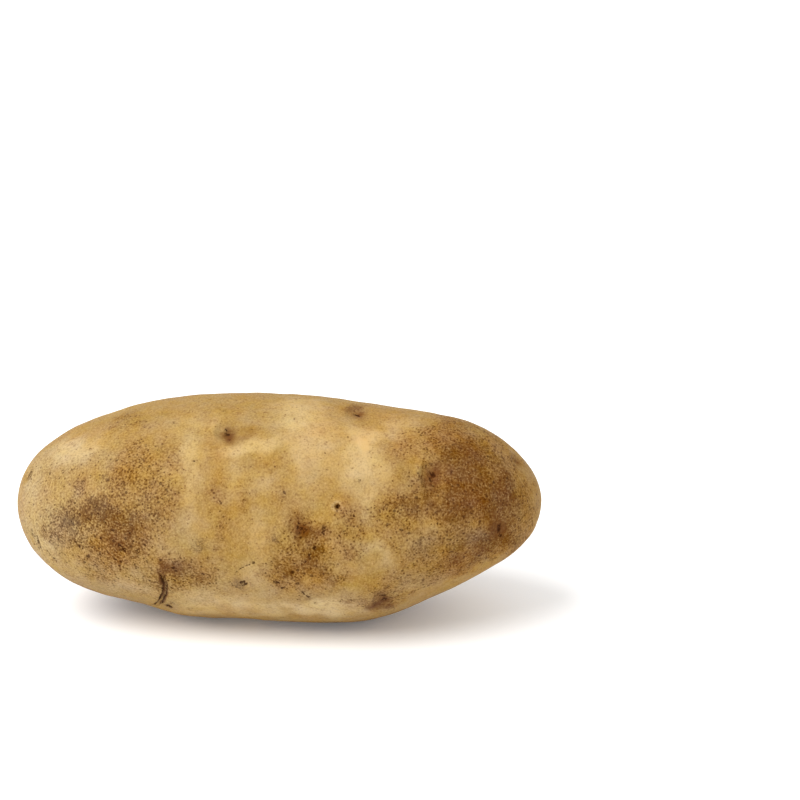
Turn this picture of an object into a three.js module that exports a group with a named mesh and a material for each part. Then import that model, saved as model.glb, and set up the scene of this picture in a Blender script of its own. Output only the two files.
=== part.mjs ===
// One whole potato: a long baking tuber with a thin netted skin, lying on its belly.
//
// Millimetres, +Z up. X runs along the tuber, from the stem end (-X) to the rose
// end (+X), where the eyes crowd together. The origin is on the surface that it
// lies on, under the middle of its box.
//
// The tuber is one closed skin. It starts as an ellipsoid whose girth and middle
// line vary along its length. Broad swells and hollows are laid on that, and then
// the small relief: eyes, the stem scar, a round scar, a pit and a growth crack.
import * as THREE from "three";
import { mergeVertices } from "three/addons/utils/BufferGeometryUtils.js";

// Driving dimensions
const LENGTH = 145;
const WIDTH = 65;
const HEIGHT = 61;
const FLAT_DEPTH = 0.6; // how much of the lowest skin is pressed flat

// Fineness of the skin's triangles
const START_DETAIL = 7; // divisions of the first, even ball
const PLAIN_EDGE = 6.2; // longest edge on plain skin
const EDGE_GROWTH = 1.0; // how much longer an edge may be for each mm from a detail

// Cross-sections along the tuber. "at" runs from -1 at the stem end to 1 at the
// rose end. "girth" scales the section, "lift" moves it up and "sway" moves it back.
const SECTIONS = [
  { at: -1.0, girth: 1.27, lift: -1.2, sway: -1.5 },
  { at: -0.92, girth: 1.18, lift: -1.2, sway: -1.0 },
  { at: -0.75, girth: 1.1, lift: -1.8, sway: -0.2 },
  { at: -0.5, girth: 1.055, lift: -1.4, sway: 0.5 },
  { at: -0.2, girth: 1.015, lift: -1.5, sway: 0.9 },
  { at: 0.1, girth: 1.01, lift: -1.9, sway: 0.8 },
  { at: 0.35, girth: 1.015, lift: -2.2, sway: 0.4 },
  { at: 0.6, girth: 0.985, lift: 0.4, sway: 0.0 },
  { at: 0.8, girth: 0.99, lift: 2.2, sway: -0.6 },
  { at: 1.0, girth: 1.02, lift: 2.2, sway: -1.5 },
];

// A place on the skin is "along", in mm from the middle towards the rose end, and
// "around", in degrees: 0 on the front, 90 on top, 180 at the back, 270 underneath.

// Broad swells and hollows: how far each reaches along and across the skin, and
// how high it rises, or sinks where that is below zero.
const SWELLS = [
  // underside
  { along: -25, around: 288, length: 11, breadth: 18, rise: 0.9 },
  { along: -4, around: 286, length: 9, breadth: 13, rise: -0.3 },
  { along: 33, around: 285, length: 14, breadth: 16, rise: 0.5 },
  { along: -37, around: 306, length: 7, breadth: 11, rise: -0.9 },
  { along: -58, around: 312, length: 8, breadth: 11, rise: 0.7 },
  // front
  { along: -30, around: 18, length: 15, breadth: 15, rise: 0.6 },
  { along: -13, around: 8, length: 6, breadth: 19, rise: -0.6 },
  { along: 10, around: 8, length: 12, breadth: 10, rise: -1.0 },
  { along: 30, around: 350, length: 13, breadth: 14, rise: 0.6 },
  { along: 52, around: 10, length: 9, breadth: 13, rise: 0.4 },
  // top
  { along: -9, around: 47, length: 6, breadth: 4.5, rise: 0.7 },
  { along: 2, around: 54, length: 8, breadth: 5, rise: 0.6 },
  { along: -5, around: 66, length: 8, breadth: 7, rise: -0.8 },
  { along: 45, around: 38, length: 8, breadth: 8, rise: -0.8 },
  { along: 52, around: 84, length: 11, breadth: 12, rise: 0.8 },
  { along: -40, around: 88, length: 14, breadth: 12, rise: -0.4 },
  // back
  { along: 20, around: 186, length: 17, breadth: 17, rise: 0.9 },
  { along: -30, around: 168, length: 14, breadth: 14, rise: -0.7 },
  { along: 0, around: 148, length: 11, breadth: 12, rise: -0.5 },
  { along: 48, around: 222, length: 10, breadth: 12, rise: 0.6 },
  { along: -52, around: 228, length: 10, breadth: 13, rise: 0.5 },
  { along: -10, around: 226, length: 13, breadth: 12, rise: -0.6 },
];

// A full-size eye: a shallow dish with a brow, a curved ridge on its stem side,
// and a small bud just inside the brow. Each eye is this one, scaled by "size".
const EYE = {
  fineReach: 4.9, // the skin's triangles are shortest within this
  fadeReach: 13, // and the eye has faded out by this
  dishLength: 3.6,
  dishBreadth: 4.6,
  dishDepth: 0.95,
  browRadius: 3.9,
  browWidth: 1.0,
  browRise: 0.5,
  browSpread: 1.05, // half the brow's arc, in radians
  budRadius: 0.85,
  budRise: 0.7,
  edge: 1.7,
  leastEdgeSize: 0.85, // a smaller eye than this keeps this one's edges
};
const EYES = [
  { along: -11, around: 60, size: 1.0 },
  { along: 9.7, around: 12, size: 0.9 },
  { along: 43, around: 39, size: 1.0 },
  { along: 60.5, around: 354, size: 0.75 },
  { along: 30.5, around: 324, size: 0.85 },
  { along: 21.8, around: 82, size: 0.75 },
  { along: -36, around: 142, size: 0.9 },
  { along: -16, around: 205, size: 1.0 },
  { along: 12, around: 158, size: 0.95 },
  { along: 33, around: 212, size: 1.0 },
  { along: 40, around: 128, size: 0.85 },
  { along: -40, around: 246, size: 0.85 },
  { along: 46, around: 272, size: 0.85 },
  { along: 56, around: 172, size: 0.8 },
  { along: 65, around: 75, size: 0.65 },
  { along: 67, around: 240, size: 0.65 },
];

// Where the runner from the mother plant broke off: a small cup with a thin rim
const STEM_SCAR = {
  along: -67.2,
  around: 54,
  radius: 2.4,
  depth: 1.1,
  rimWidth: 0.8,
  rimRise: 0.35,
  edge: 1.1,
};
// A healed round scar: a flat button in a narrow moat
const ROUND_SCAR = {
  along: -5.7,
  around: 340,
  radius: 1.2,
  depth: 0.4,
  rimWidth: 0.6,
  rimRise: 0.2,
  edge: 0.8,
};
// A small hole with a pale rim
const PIT = {
  along: 19.4,
  around: 23,
  radius: 0.75,
  depth: 1.2,
  rimWidth: 0.5,
  rimRise: 0.15,
  edge: 0.6,
};
// A cup shapes only its own side of the tuber: the skin within this of its plane
const CUP_THICKNESS = 14.5;
// A short growth crack, as the places that its line passes through
const CRACK = {
  line: [
    { along: -28.2, around: 340 },
    { along: -27.0, around: 331 },
    { along: -28.6, around: 320 },
    { along: -31.6, around: 311 },
  ],
  halfWidth: 0.55,
  depth: 0.9,
  lipAt: 1.3,
  lipRise: 0.25,
  shallower: 0.5, // how much of its depth is gone at its ends
  steps: 16, // straight steps that its line is taken in
  reach: 3.5,
  edge: 0.8,
};

const POTATO_TAN = 0xc29a60;

// A bell that is 1 at zero and has faded out at about twice its reach.
function bell(distance, reach) {
  return Math.exp(-((distance / reach) ** 2));
}

// The girth, lift and sway at any point along the tuber, as smooth curves.
const sectionCurve = new THREE.CubicInterpolant(
  SECTIONS.map((section) => section.at),
  SECTIONS.flatMap((section) => [section.girth, section.lift, section.sway]),
  3,
);

// The plain body's surface, for a direction on the unit ball.
function bodyPoint(direction) {
  const [girth, lift, sway] = sectionCurve.evaluate(direction.x);
  return new THREE.Vector3(
    (direction.x * LENGTH) / 2,
    sway + (direction.y * girth * WIDTH) / 2,
    lift + (direction.z * girth * HEIGHT) / 2,
  );
}

// The way that the skin faces there, as on the plain ellipsoid.
function outwardAt(direction) {
  return new THREE.Vector3(direction.x / LENGTH, direction.y / WIDTH, direction.z / HEIGHT).normalize();
}

// The direction on the unit ball that belongs to a place.
function directionOf({ along, around }) {
  const x = along / (LENGTH / 2);
  const radius = Math.sqrt(1 - x * x);
  const angle = THREE.MathUtils.degToRad(around);
  return new THREE.Vector3(x, -radius * Math.cos(angle), radius * Math.sin(angle));
}

// A place with its own axes: outward, towards the rose end, and across.
function skinFrame(place) {
  const direction = directionOf(place);
  const outward = outwardAt(direction);
  const roseward = new THREE.Vector3(1, 0, 0).projectOnPlane(outward).normalize();
  const across = new THREE.Vector3().crossVectors(outward, roseward);
  return { centre: bodyPoint(direction), outward, roseward, across };
}

// Splits a point into its distances from a place: roseward, across and outward.
function inFrame(point, frame) {
  const offset = point.clone().sub(frame.centre);
  return [offset.dot(frame.roseward), offset.dot(frame.across), offset.dot(frame.outward)];
}

// Each relief below has height(point), how far it lifts the skin, and a detail
// also has distance(point), how far outside it a point is, and its longest edge.

function makeSwell(swell) {
  const frame = skinFrame(swell);
  const depthReach = Math.max(swell.length, swell.breadth);
  return {
    height(point) {
      const [u, v, w] = inFrame(point, frame);
      return swell.rise * bell(u, swell.length) * bell(v, swell.breadth) * bell(w, depthReach);
    },
  };
}

function makeEye(place) {
  const frame = skinFrame(place);
  const size = place.size;
  return {
    edge: EYE.edge * Math.max(size, EYE.leastEdgeSize),
    distance: (point) => point.distanceTo(frame.centre) - EYE.fineReach * size,
    height(point) {
      if (point.distanceTo(frame.centre) > EYE.fadeReach * size) return 0;
      const [u, v] = inFrame(point, frame).map((value) => value / size);
      const fromStem = Math.atan2(Math.abs(v), -u);
      const dish = -EYE.dishDepth * bell(u, EYE.dishLength) * bell(v, EYE.dishBreadth);
      const brow = EYE.browRise * bell(Math.hypot(u, v) - EYE.browRadius, EYE.browWidth) *
        bell(fromStem, EYE.browSpread);
      const bud = EYE.budRise * bell(Math.hypot(u, v), EYE.budRadius);
      return (dish + brow + bud) * size;
    },
  };
}

// A cup with a raised rim, for the scars and the pit.
function makeCup(cup) {
  const frame = skinFrame(cup);
  return {
    edge: cup.edge,
    distance: (point) => point.distanceTo(frame.centre) - cup.radius - cup.rimWidth,
    height(point) {
      const [u, v, w] = inFrame(point, frame);
      if (Math.abs(w) > CUP_THICKNESS) return 0;
      const radius = Math.hypot(u, v);
      const rim = cup.rimRise * bell(radius - cup.radius - cup.rimWidth, cup.rimWidth);
      return rim - cup.depth * bell(radius, cup.radius);
    },
  };
}

function makeCrack(crack) {
  const points = crack.line.map((place) => bodyPoint(directionOf(place)));
  const route = new THREE.CatmullRomCurve3(points).getPoints(crack.steps);
  const pieces = route.slice(1).map((end, index) => new THREE.Line3(route[index], end));
  const middle = route[Math.floor(route.length / 2)];
  const halfLength = middle.distanceTo(route[0]);
  const nearest = new THREE.Vector3();
  const distanceTo = (point) => Math.min(
    ...pieces.map((piece) => piece.closestPointToPoint(point, true, nearest).distanceTo(point)),
  );
  return {
    edge: crack.edge,
    distance: (point) => distanceTo(point) - crack.lipAt / 2,
    height(point) {
      if (point.distanceTo(middle) > halfLength + crack.reach) return 0;
      const distance = distanceTo(point);
      const taper = 1 - crack.shallower * Math.min(1, point.distanceTo(middle) / halfLength) ** 2;
      const groove = -crack.depth * bell(distance, crack.halfWidth);
      const lips = crack.lipRise * bell(distance - crack.lipAt, crack.halfWidth);
      return (groove + lips) * taper;
    },
  };
}

const swells = SWELLS.map(makeSwell);
const cups = [STEM_SCAR, ROUND_SCAR, PIT].map(makeCup);
const details = [...EYES.map(makeEye), ...cups, makeCrack(CRACK)];
const reliefs = [...swells, ...details];

// The finished skin's surface, for a direction on the unit ball.
function skinPoint(direction) {
  const point = bodyPoint(direction);
  const rise = reliefs.reduce((sum, relief) => sum + relief.height(point), 0);
  return point.addScaledVector(outwardAt(direction), rise);
}

// The longest edge that the skin may have at a point: short in and near a detail.
function longestEdge(point) {
  const nearDetails = details.map((detail) => (
    detail.edge + EDGE_GROWTH * Math.max(0, detail.distance(point))
  ));
  return Math.min(PLAIN_EDGE, ...nearDetails);
}

// Splits one triangle by the middles of its long edges. middles[i] is the new
// corner between corners i and i + 1, or undefined where that edge is kept.
function splitTriangle(corners, middles, points) {
  const count = middles.filter((middle) => middle !== undefined).length;
  if (count === 0) return [corners];
  if (count === 3) {
    const [a, b, c] = corners;
    const [ab, bc, ca] = middles;
    return [[a, ab, ca], [ab, b, bc], [ca, bc, c], [ab, bc, ca]];
  }
  // Turn the triangle until its first edge is split and its last one is whole.
  let turn = 0;
  while (middles[turn] === undefined || middles[(turn + 2) % 3] !== undefined) turn += 1;
  const [a, b, c] = [0, 1, 2].map((index) => corners[(index + turn) % 3]);
  const [ab, bc] = [0, 1].map((index) => middles[(index + turn) % 3]);
  if (count === 1) return [[a, ab, c], [ab, b, c]];
  const shortWay = points[ab].distanceTo(points[c]) < points[a].distanceTo(points[bc]);
  const rest = shortWay ? [[a, ab, c], [ab, bc, c]] : [[a, ab, bc], [a, bc, c]];
  return [[ab, b, bc], ...rest];
}

// Splits the triangles over and over until no edge is too long.
function refine(directions, triangles) {
  const points = directions.map(skinPoint);
  let current = triangles;
  let split = true;
  while (split) {
    const middleOf = new Map();
    const middle = (first, second) => {
      const key = first < second ? `${first} ${second}` : `${second} ${first}`;
      if (!middleOf.has(key)) {
        const between = points[first].clone().lerp(points[second], 0.5);
        const tooLong = points[first].distanceTo(points[second]) > longestEdge(between);
        if (tooLong) {
          directions.push(directions[first].clone().add(directions[second]).normalize());
          points.push(skinPoint(directions.at(-1)));
        }
        middleOf.set(key, tooLong ? points.length - 1 : undefined);
      }
      return middleOf.get(key);
    };
    const next = current.flatMap(([a, b, c]) => (
      splitTriangle([a, b, c], [middle(a, b), middle(b, c), middle(c, a)], points)
    ));
    split = next.length > current.length;
    current = next;
  }
  return { points, triangles: current };
}

// The whole skin: an even ball, refined, shaped, pressed flat where it lies, and
// moved so that the origin is under the middle of its box.
function makeSkin() {
  const ball = new THREE.IcosahedronGeometry(1, START_DETAIL);
  ball.deleteAttribute("normal");
  ball.deleteAttribute("uv");
  const even = mergeVertices(ball);
  const corner = even.getAttribute("position");
  const directions = Array.from({ length: corner.count }, (_, index) => (
    new THREE.Vector3().fromBufferAttribute(corner, index).normalize()
  ));
  const order = Array.from(even.index.array);
  const evenTriangles = Array.from({ length: order.length / 3 }, (_, index) => (
    order.slice(3 * index, 3 * index + 3)
  ));
  const { points, triangles } = refine(directions, evenTriangles);

  const floor = Math.min(...points.map((point) => point.z)) + FLAT_DEPTH;
  const pressed = points.map((point) => new THREE.Vector3(point.x, point.y, Math.max(point.z, floor)));
  const skin = new THREE.BufferGeometry().setFromPoints(pressed);
  skin.setIndex(triangles.flat());
  skin.computeBoundingBox();
  const middle = skin.boundingBox.getCenter(new THREE.Vector3());
  skin.translate(-middle.x, -middle.y, -floor);
  skin.computeVertexNormals();
  return skin;
}

function makePotato() {
  const material = new THREE.MeshStandardMaterial({ color: POTATO_TAN, roughness: 0.62, metalness: 0 });
  const potato = new THREE.Mesh(makeSkin(), material);
  potato.name = "potato";
  return potato;
}

const part = new THREE.Group();
part.add(makePotato());

export default part;
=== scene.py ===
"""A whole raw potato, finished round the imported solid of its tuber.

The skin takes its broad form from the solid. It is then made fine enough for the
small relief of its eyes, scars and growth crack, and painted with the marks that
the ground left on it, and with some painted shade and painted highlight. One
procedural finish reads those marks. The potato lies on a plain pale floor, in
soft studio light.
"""

import logging
import math
import random
from dataclasses import dataclass, field
from enum import Enum
from typing import Any, Sequence

import bpy
import numpy as np
from mathutils import Matrix, Vector
from mathutils.bvhtree import BVHTree


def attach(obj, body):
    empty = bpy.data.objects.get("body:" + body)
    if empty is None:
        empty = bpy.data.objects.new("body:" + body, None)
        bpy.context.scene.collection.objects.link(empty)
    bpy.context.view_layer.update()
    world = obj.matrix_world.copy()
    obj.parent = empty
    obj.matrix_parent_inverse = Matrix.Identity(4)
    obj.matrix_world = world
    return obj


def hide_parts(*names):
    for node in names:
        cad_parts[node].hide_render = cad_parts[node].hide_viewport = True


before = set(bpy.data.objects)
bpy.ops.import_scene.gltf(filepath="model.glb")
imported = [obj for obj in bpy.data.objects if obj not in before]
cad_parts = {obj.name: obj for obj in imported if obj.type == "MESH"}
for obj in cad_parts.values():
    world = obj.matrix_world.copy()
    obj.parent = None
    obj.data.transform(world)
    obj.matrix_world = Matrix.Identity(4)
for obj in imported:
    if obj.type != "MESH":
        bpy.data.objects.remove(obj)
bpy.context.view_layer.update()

MM = 0.001
SEED = 41
LOG = logging.getLogger("potato")

Pixel = tuple[float, float]
Colour = tuple[float, float, float]


class Layer(Enum):
    """A kind of mark on the skin, kept as a point attribute of the same name. Two kinds also carry painted
    shade and painted highlight.
    """

    # The cork-net layer also holds painted shade at the rose end, low on the right and along the left
    # edge; the pale layer also holds painted highlight on a ridge by the top eye, on the brows and on the
    # pit's rim.
    RUSSET_AND_SHADE = "russet_and_shade"
    PALE = "pale"
    STAIN = "stain"
    SCUFF = "scuff"
    DIRT = "dirt"
    ASH = "ash"
    BLUSH = "blush"
    SPECKLE = "speckle"


def bell(distance: np.ndarray, reach: float) -> np.ndarray:
    """Falls smoothly from 1 at no distance to almost nothing at twice the reach."""
    return np.exp(-((distance / reach) ** 2))


def unit(vector: Sequence[float]) -> np.ndarray:
    """Scales a vector to length 1."""
    array = np.asarray(vector, float)
    return array / np.linalg.norm(array)


def turned(along: np.ndarray, over: np.ndarray, turn_deg: float) -> tuple[np.ndarray, np.ndarray]:
    """Measures along two flat axes that are turned, from the first towards the second.

    Args:
        along: Distances along the first axis.
        over: Distances along the second axis.
        turn_deg: How far the axes are turned.

    Returns:
        Distances along the turned axes.
    """
    cosine, sine = math.cos(math.radians(turn_deg)), math.sin(math.radians(turn_deg))
    return along * cosine + over * sine, over * cosine - along * sine


def linear(red: int, green: int, blue: int) -> Colour:
    """Turns a screen colour, 0 to 255, into the linear values that shaders use."""
    return tuple(((channel / 255 + 0.055) / 1.055) ** 2.4 for channel in (red, green, blue))


@dataclass(frozen=True)
class PhotoCamera:
    """The camera that sees the potato as the photograph does.

    Attributes:
        low: Lowest corner of the tuber's box, in metres.
        high: Highest corner of the tuber's box, in metres.
        lens_mm: Focal length.
        sensor_mm: Width of the sensor.
        image_px: Width and height of the photograph.
        elevation_deg: How far above the horizon the camera stands.
        azimuth_deg: How far round the tuber it stands from straight in front.
        seen_turn_deg: How far the tuber's length is turned from the view.
        length_px: The tuber's seen length in the photograph.
        middle_px: Where the middle of its box falls in the photograph.
    """

    low: np.ndarray
    high: np.ndarray
    lens_mm: float = 85.0
    sensor_mm: float = 36.0
    image_px: int = 800
    elevation_deg: float = 17.0
    azimuth_deg: float = 4.4
    seen_turn_deg: float = 8.0
    length_px: float = 521.0
    middle_px: Pixel = (280.0, 505.0)

    @property
    def focal_px(self) -> float:
        """The focal length in pixels."""
        return self.lens_mm / self.sensor_mm * self.image_px

    @property
    def half_px(self) -> float:
        """Half the photograph's width, in pixels."""
        return self.image_px / 2

    @property
    def axes(self) -> tuple[np.ndarray, np.ndarray, np.ndarray]:
        """The camera's own directions.

        Returns:
            Right, up and forward, each of length 1.
        """
        turn, tilt = math.radians(self.azimuth_deg), math.radians(self.elevation_deg)
        right = np.array([math.cos(turn), math.sin(turn), 0.0])
        level = np.array([-math.sin(turn), math.cos(turn), 0.0])
        forward = level * math.cos(tilt) - np.array([0.0, 0.0, math.sin(tilt)])
        return right, np.cross(right, forward), forward

    @property
    def position(self) -> np.ndarray:
        """Where the camera stands, so that the tuber has its place and size in the picture.

        Returns:
            The place, in metres.
        """
        right, up, forward = self.axes
        length = (self.high - self.low)[0]
        pixel = length * math.cos(math.radians(self.seen_turn_deg)) / self.length_px
        aside = (self.middle_px[0] - self.half_px) * pixel
        above = (self.half_px - self.middle_px[1]) * pixel
        middle = (self.low + self.high) / 2
        return middle - aside * right - above * up - self.focal_px * pixel * forward

    def ray(self, pixel: Pixel) -> tuple[np.ndarray, np.ndarray]:
        """Gives the start and direction of the line of sight through a pixel.

        Args:
            pixel: A place in the photograph.

        Returns:
            The camera's position and a direction of length 1.
        """
        right, up, forward = self.axes
        aside, above = pixel[0] - self.half_px, self.half_px - pixel[1]
        return self.position, unit(forward * self.focal_px + right * aside + up * above)

    def project(self, points: np.ndarray) -> np.ndarray:
        """Finds where points fall in the photograph.

        Args:
            points: Points in metres, one a row.

        Returns:
            Pixel coordinates, one pair a row.
        """
        right, up, forward = self.axes
        offset = points - self.position
        depth = offset @ forward
        across = self.half_px + self.focal_px * (offset @ right) / depth
        down = self.half_px - self.focal_px * (offset @ up) / depth
        return np.stack([across, down], axis=1)

    def place(self) -> None:
        """Adds the camera to the scene and makes it the one that renders."""
        right, up, forward = self.axes
        data = bpy.data.cameras.new("photo_camera")
        data.lens = self.lens_mm
        data.sensor_width = self.sensor_mm
        camera = bpy.data.objects.new("photo_camera", data)
        turned = Matrix((right, up, -forward)).transposed().to_4x4()
        camera.matrix_world = Matrix.Translation(Vector(self.position)) @ turned
        bpy.context.scene.collection.objects.link(camera)
        bpy.context.scene.camera = camera


@dataclass(frozen=True)
class Spot:
    """A place on the skin with its own axes.

    Attributes:
        centre: The place, in metres.
        outward: The way that the skin faces there.
    """

    centre: np.ndarray
    outward: np.ndarray

    # How far above or below it skin still counts as being on its side, in mm
    THICK = 6.0

    @property
    def roseward(self) -> np.ndarray:
        """The way along the skin to the rose end."""
        along = np.array([1.0, 0.0, 0.0])
        return unit(along - self.outward * self.outward[0])

    @property
    def across(self) -> np.ndarray:
        """The way across the skin, a quarter turn from roseward."""
        return np.cross(self.outward, self.roseward)

    def flat(self, points: np.ndarray, turn_deg: float = 0.0) -> tuple[np.ndarray, np.ndarray, np.ndarray]:
        """Measures points from the spot, in mm.

        Args:
            points: Points in metres, one a row.
            turn_deg: How far the two flat axes are turned about the outward one.

        Returns:
            Distances roseward, across and outward.
        """
        offset = (points - self.centre) / MM
        along, over = turned(offset @ self.roseward, offset @ self.across, turn_deg)
        return along, over, offset @ self.outward

    def far(self, points: np.ndarray) -> np.ndarray:
        """Measures points from the spot along the skin, in mm. Points on other sides are endlessly far."""
        along, over, out = self.flat(points)
        return np.where(np.abs(out) < self.THICK, np.hypot(along, over), np.inf)


class Surface:
    """The surface of the solid or of the skin, asked for places on it."""

    SMOOTH_REACH = 5 * MM
    # How often, and by what share, a pixel outside the edge is pulled to the middle
    TRIES = 8
    PULL = 0.01
    # How far outside the tuber a ray starts, in metres
    OUTSIDE = 1.0

    def __init__(self, thing: bpy.types.Object) -> None:
        """Reads a mesh.

        Args:
            thing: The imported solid, or the skin round it.
        """
        self.thing = thing
        self.tree = BVHTree.FromObject(thing, bpy.context.evaluated_depsgraph_get())
        corners = np.array([corner[:] for corner in thing.bound_box])
        self.low, self.high = corners.min(axis=0), corners.max(axis=0)

    def _spot(self, point: Vector) -> Spot:
        """Makes a spot at a point.

        Args:
            point: The place, in metres.

        Returns:
            The spot, facing the way that the skin round it faces on average.
        """
        near = self.tree.find_nearest_range(point, self.SMOOTH_REACH)
        outward = sum((normal for _, normal, _, _ in near), Vector())
        return Spot(np.array(point), unit(outward))

    def seen(self, camera: PhotoCamera, pixel: Pixel) -> Spot:
        """Finds the spot that the camera sees at a pixel.

        Args:
            camera: The camera.
            pixel: A place in the photograph, on the potato or a little outside its edge.

        Returns:
            The spot there, or just inside the edge.

        Raises:
            ValueError: The pixel is far off the potato.
        """
        middle = camera.middle_px
        for pull in range(self.TRIES):
            near = tuple(at + (centre - at) * self.PULL * pull for at, centre in zip(pixel, middle))
            start, direction = camera.ray(near)
            point = self.tree.ray_cast(Vector(start), Vector(direction))[0]
            if point is not None:
                return self._spot(point)
        raise ValueError(f"pixel {pixel} isn't on the potato")

    def at(self, along: float, around: float) -> Spot:
        """Finds a spot by its place on the tuber.

        Args:
            along: Distance from the middle towards the rose end, in mm.
            around: Degrees round the tuber: 0 in front, 90 on top, 180 at the back.

        Returns:
            The spot.
        """
        x, middle_z = along * MM, (self.low[2] + self.high[2]) / 2
        front = self.tree.ray_cast(Vector((x, -self.OUTSIDE, middle_z)), Vector((0, 1, 0)))[0].y
        back = self.tree.ray_cast(Vector((x, self.OUTSIDE, middle_z)), Vector((0, -1, 0)))[0].y
        middle_y = (front + back) / 2
        under = self.tree.ray_cast(Vector((x, middle_y, -self.OUTSIDE)), Vector((0, 0, 1)))[0].z
        over = self.tree.ray_cast(Vector((x, middle_y, self.OUTSIDE)), Vector((0, 0, -1)))[0].z
        angle = math.radians(around)
        y = middle_y - math.cos(angle) * (back - front) / 2
        z = (under + over) / 2 + math.sin(angle) * (over - under) / 2
        return self._spot(self.tree.find_nearest(Vector((x, y, z)))[0])


@dataclass(frozen=True)
class Eye:
    """One eye: a shallow dish, a curved brow on its stem side and small buds.

    Attributes:
        spot: Its middle.
        size: Its scale beside a full-size eye.
        depth: How deep its dish is beside a full-size eye's.
        seed: Seed of its buds' places.
        seen: Whether the photograph shows it. Then specks give it most of its earth.
    """

    spot: Spot
    size: float
    depth: float
    seed: int
    seen: bool

    DISH_LENGTH = 3.4
    DISH_BREADTH = 4.6
    DISH_DEPTH = 0.75
    DISH_BACK = 0.5
    BROW_RADIUS = 3.9
    BROW_OUTER = 1.5
    BROW_INNER = 0.7
    BROW_RISE = 0.5
    BROW_SPREAD = 1.1
    BUD_REACH = 0.55
    BUD_RISE = 0.4
    BUD_STEP = 1.1
    BUD_BACK = 1.2
    BUDS = 3
    STAIN_REACH = 3.4
    REACH = 9.0

    def _round(self, points: np.ndarray) -> tuple[np.ndarray, np.ndarray, np.ndarray, np.ndarray]:
        """Measures points from the eye, at its own scale.

        Args:
            points: Points in metres, one a row.

        Returns:
            Distances roseward, across and straight, and the angle from stemward.
        """
        along, over, _ = self.spot.flat(points)
        angle = np.arctan2(np.abs(over), -along)
        return along / self.size, over / self.size, self.spot.far(points) / self.size, angle

    def relief(self, points: np.ndarray) -> np.ndarray:
        """Gives how far the eye raises the skin.

        Args:
            points: Points in metres, one a row.

        Returns:
            The rise at each point, in mm.
        """
        along, over, far, angle = self._round(points)
        dish = bell(along + self.DISH_BACK, self.DISH_LENGTH) * bell(over, self.DISH_BREADTH)
        dish *= -self.DISH_DEPTH * self.depth
        edge = far - self.BROW_RADIUS
        brow = np.where(edge > 0, bell(edge, self.BROW_OUTER), bell(edge, self.BROW_INNER))
        brow = self.BROW_RISE * self.depth * brow * bell(angle, self.BROW_SPREAD)
        draw = random.Random(self.seed)
        buds = np.zeros(len(points))
        for step in range(self.BUDS):
            side = (step - 1) * self.BUD_STEP + draw.uniform(-0.3, 0.3)
            rise = self.BUD_RISE * draw.uniform(0.5, 1.0)
            back = self.BUD_BACK + draw.uniform(-0.5, 0.4)
            buds += rise * bell(np.hypot(along + back, over - side), self.BUD_REACH)
        return (dish + brow + buds) * self.size * (far < self.REACH)

    def stain(self, points: np.ndarray) -> np.ndarray:
        """Gives how brown the eye's surround is at each point."""
        far = self._round(points)[2]
        return 0.75 * bell(far, self.STAIN_REACH) * (far < self.REACH) * (0.4 if self.seen else 1.0)

    def dirt(self, points: np.ndarray) -> np.ndarray:
        """Gives how much earth lies under the brow and between the buds.

        Args:
            points: Points in metres, one a row.

        Returns:
            The amount at each point, from 0 to 1.
        """
        along, over, far, angle = self._round(points)
        under_brow = bell(far - self.BROW_RADIUS + 1.7, 0.5) * bell(angle, 0.75)
        middle = bell(along + 0.6, 0.6) * bell(over, 1.3)
        strength = 0.4 * self.depth if self.seen else 0.9
        return np.clip(0.75 * under_brow + 0.8 * middle, 0, 1) * (far < self.REACH) * strength


@dataclass(frozen=True)
class Cup:
    """A round hollow with a raised rim, such as a scar or a pit.

    Attributes:
        spot: Its middle.
        radius: Radius of the hollow, in mm.
        depth: How deep it is.
        rim_width: Width of its rim.
        rim_rise: How high the rim stands.
        button: How high the flat middle of a healed scar stands in it.
        dark: How much earth it holds.
        pale: How much painted highlight its rim gets, as paler skin.
    """

    spot: Spot
    radius: float
    depth: float
    rim_width: float
    rim_rise: float
    button: float = 0.0
    dark: float = 1.0
    pale: float = 0.0

    def _disc(self, points: np.ndarray, amount: float, share: float, power: int) -> np.ndarray:
        """Gives an amount that fills a soft-edged disc in the cup.

        Args:
            points: Points in metres, one a row.
            amount: The amount in its middle.
            share: The disc's radius, as a share of the cup's.
            power: How steep its edge is.

        Returns:
            The amount at each point.
        """
        return amount / (1 + (self.spot.far(points) / (share * self.radius)) ** power)

    def _rim(self, points: np.ndarray) -> np.ndarray:
        """Gives 1 on the rim, and less on both sides of it."""
        return bell(self.spot.far(points) - self.radius - self.rim_width, self.rim_width)

    def relief(self, points: np.ndarray) -> np.ndarray:
        """Gives how far the cup raises the skin at each point, in mm."""
        hollow = self._disc(points, -self.depth, 1.0, 6)
        return hollow + self.rim_rise * self._rim(points) + self._disc(points, self.button, 0.62, 8)

    def dirt(self, points: np.ndarray) -> np.ndarray:
        """Gives how much earth lies in the cup at each point."""
        return self._disc(points, self.dark, 0.85, 8)

    def painted_highlight(self, points: np.ndarray) -> np.ndarray:
        """Gives the painted highlight on the rim at each point, as paler skin."""
        return self.pale * self._rim(points)


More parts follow.
